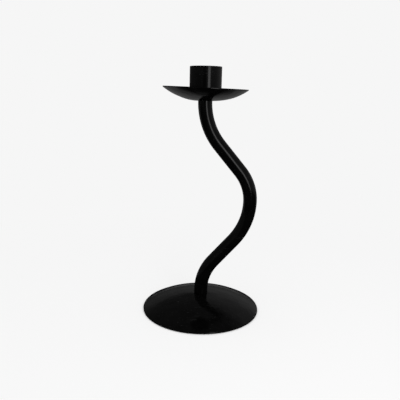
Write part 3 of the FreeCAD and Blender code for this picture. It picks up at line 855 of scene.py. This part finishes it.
def makeFloor():
    look = stageLook
    deselectAll()
    bpy.ops.mesh.primitive_plane_add(size=look["paperSize"], location=(0, 0, -look["paperDrop"]))
    floor = bpy.context.object
    floor.name = "paperFloor"
    material = bpy.data.materials.new("palePaper")
    tree = newTree(material)
    place = addNode(tree, "ShaderNodeTexCoord").outputs["Object"]
    distance = addNode(tree, "ShaderNodeVectorMath", {"operation": "LENGTH"}, {0: place})
    distance = distance.outputs["Value"]
    share = addNode(  # far from the object the paper is as even as the backdrop
        tree, "ShaderNodeMapRange",
        {
            "interpolation_type": "SMOOTHSTEP", "From Min": look["fadeStart"],
            "From Max": look["fadeEnd"], "To Min": look["paperGlow"],
        },
        {"Value": distance},
    )
    outside = addNode(  # under the rim it is only as light as the little light there makes it
        tree, "ShaderNodeMapRange",
        {"From Min": look["contactStart"], "From Max": look["contactEnd"]}, {"Value": distance},
    )
    share = addNode(tree, "ShaderNodeMath", {"operation": "MULTIPLY"}, {0: share, 1: outside})
    share = addNode(
        tree, "ShaderNodeMath", {"operation": "MULTIPLY"}, {0: share, 1: seenDirectly(tree)}
    )
    paper = addNode(tree, "ShaderNodeBsdfDiffuse", {"Color": linearColor(look["paperColor"])})
    glow = addNode(
        tree, "ShaderNodeEmission", {"Color": linearColor(look["backdropColor"]), "Strength": 1.0}
    )
    mix = addNode(tree, "ShaderNodeMixShader", None, {0: share, 1: paper, 2: glow})
    addNode(tree, "ShaderNodeOutputMaterial", None, {"Surface": mix})
    giveMaterial(floor, material)


def makeStripLight():
    light = stripLight
    data = bpy.data.lights.new("stripLight", "AREA")
    data.shape = "RECTANGLE"
    data.size, data.size_y, data.energy = light["width"], light["height"], light["power"]
    lamp = bpy.data.objects.new("stripLight", data)
    bpy.context.scene.collection.objects.link(lamp)
    turn = math.radians(light["azimuth"])
    away = Vector((math.sin(turn), -math.cos(turn), 0))
    lamp.location = away * light["distance"] + Vector((0, 0, light["bottom"] + light["height"] / 2))
    lamp.rotation_euler = away.to_track_quat("Z", "Y").to_euler()
    lamp.visible_camera = False


def onlyInGloss(card, material):  # the card is seen in reflections and lights or shades nothing
    giveMaterial(card, material)
    card.visible_camera = card.visible_diffuse = card.visible_shadow = False
    card.visible_transmission = card.visible_volume_scatter = False


def makePaintedReflectionShell():  # half a ball over the table, glowing only in gloss: a painted reflection of the screen and the room is drawn on it
    card = paintedReflectionShell
    deselectAll()
    bpy.ops.mesh.primitive_uv_sphere_add(segments=96, ring_count=48, radius=card["radius"])
    shell = bpy.context.object
    shell.name = "paintedReflectionShell"
    editAll()
    bpy.ops.mesh.bisect(plane_co=(0, 0, 0), plane_no=(0, 0, 1), clear_inner=True)
    bpy.ops.object.mode_set(mode="OBJECT")

    material = bpy.data.materials.new("paintedScreenAndRoomReflection")
    tree = newTree(material)
    place = addNode(tree, "ShaderNodeTexCoord").outputs["Object"]
    ways = addNode(tree, "ShaderNodeVectorMath", {"operation": "NORMALIZE"}, {0: place})
    ways = addNode(tree, "ShaderNodeSeparateXYZ", None, {"Vector": ways}).outputs
    fades = {
        name: addNode(
            tree, "ShaderNodeMapRange",
            {"interpolation_type": "SMOOTHSTEP", "From Min": start, "From Max": end},
            {"Value": ways[axis]},
        )
        for name, (axis, start, end) in card["fades"].items()
    }
    screen = addNode(
        tree, "ShaderNodeMapRange",
        {**card["screenTurn"], "To Min": card["screenLeft"], "To Max": card["screenRight"]},
        {"Value": ways["X"]},
    )
    # in this painted reflection the foot of the screen behind the table is dim, but not at the right
    foot = addNode(tree, "ShaderNodeMix", {2: 1.0, 3: card["footShare"]}, {0: fades["footSide"]})
    foot = addNode(tree, "ShaderNodeMix", {2: 1.0}, {0: fades["footBack"], 3: foot})
    foot = addNode(tree, "ShaderNodeMix", {3: 1.0}, {0: fades["footTop"], 2: foot})
    screen = addNode(tree, "ShaderNodeMath", {"operation": "MULTIPLY"}, {0: screen, 1: foot})
    left = addNode(tree, "ShaderNodeMix", {3: card["roomLeft"]}, {0: fades["screenTop"], 2: screen})
    right = addNode(tree, "ShaderNodeMix", {3: card["screenHigh"]}, {0: fades["screenTop"], 2: screen})
    right = addNode(tree, "ShaderNodeMix", {3: card["roomRight"]}, {0: fades["highTop"], 2: right})
    strength = addNode(tree, "ShaderNodeMix", None, {0: fades["rightHalf"], 2: left, 3: right})
    front = addNode(tree, "ShaderNodeMapRange", card["frontTurn"], {"Value": ways["Y"]})
    strength = addNode(tree, "ShaderNodeMath", {"operation": "MULTIPLY"}, {0: strength, 1: front})
    glow = addNode(tree, "ShaderNodeEmission", {"Color": (1, 1, 1, 1)}, {"Strength": strength})
    addNode(tree, "ShaderNodeOutputMaterial", None, {"Surface": glow})
    onlyInGloss(shell, material)


def makeTableReflection():  # a painted dark reflection of a table top in front of the object: a faintly glowing card seen only in gloss; behind it the paper shows
    card = tableReflectionCard
    deselectAll()
    bpy.ops.mesh.primitive_plane_add(size=card["size"], location=(0, 0, card["lift"]))
    table = bpy.context.object
    table.name = "paintedTableReflectionCard"
    material = bpy.data.materials.new("paintedTableTopReflection")
    tree = newTree(material)
    place = addNode(tree, "ShaderNodeTexCoord").outputs["Object"]
    back = addNode(tree, "ShaderNodeSeparateXYZ", None, {"Vector": place}).outputs["Y"]
    share = addNode(
        tree, "ShaderNodeMapRange",
        {
            "interpolation_type": "SMOOTHSTEP", "From Min": card["clearFrom"],
            "From Max": card["fullFrom"],
        },
        {"Value": back},
    )
    clear = addNode(tree, "ShaderNodeBsdfTransparent")
    glow = addNode(tree, "ShaderNodeEmission", {"Color": (1, 1, 1, 1), "Strength": card["glow"]})
    mix = addNode(tree, "ShaderNodeMixShader", None, {0: share, 1: clear, 2: glow})
    addNode(tree, "ShaderNodeOutputMaterial", None, {"Surface": mix})
    onlyInGloss(table, material)


# a painted dark reflection of a tripod in front of the object: a faintly glowing card seen only in gloss
def makeTripodReflection():
    card = tripodReflectionCard
    turn = math.radians(card["azimuth"])
    deselectAll()
    bpy.ops.mesh.primitive_plane_add(
        size=1, rotation=(math.radians(90), 0, turn),
        location=(
            card["distance"] * math.sin(turn), -card["distance"] * math.cos(turn), card["height"] / 2
        ),
    )
    tripod = bpy.context.object
    tripod.name = "paintedTripodReflectionCard"
    tripod.scale = (card["width"], card["height"], 1)
    material = bpy.data.materials.new("paintedTripodReflection")
    tree = newTree(material)
    glow = addNode(tree, "ShaderNodeEmission", {"Color": (1, 1, 1, 1), "Strength": card["glow"]})
    addNode(tree, "ShaderNodeOutputMaterial", None, {"Surface": glow})
    onlyInGloss(tripod, material)


makeWorld()
makeFloor()
makeStripLight()
makePaintedReflectionShell()
makeTableReflection()
makeTripodReflection()

cameraView = {  # place in millimetres, pitch (from straight down) and roll in degrees
    "lens": 43.445, "sensor": 36.0, "place": (-2.35, -385.44, 181.43), "pitch": 77.274, "roll": 1.287,
    "nearest": 0.01, "farthest": 50.0,
}
cameraData = bpy.data.cameras.new("photoCamera")
cameraData.lens, cameraData.sensor_width = cameraView["lens"], cameraView["sensor"]
cameraData.clip_start, cameraData.clip_end = cameraView["nearest"], cameraView["farthest"]
camera = bpy.data.objects.new("photoCamera", cameraData)
bpy.context.scene.collection.objects.link(camera)
camera.location = Vector(cameraView["place"]) * mm
camera.rotation_mode = "ZYX"
camera.rotation_euler = (math.radians(cameraView["pitch"]), 0, math.radians(cameraView["roll"]))
bpy.context.scene.camera = camera
bpy.context.scene.view_settings.view_transform = "Standard"
say("stage, light and camera made")

bpy.context.view_layer.update()
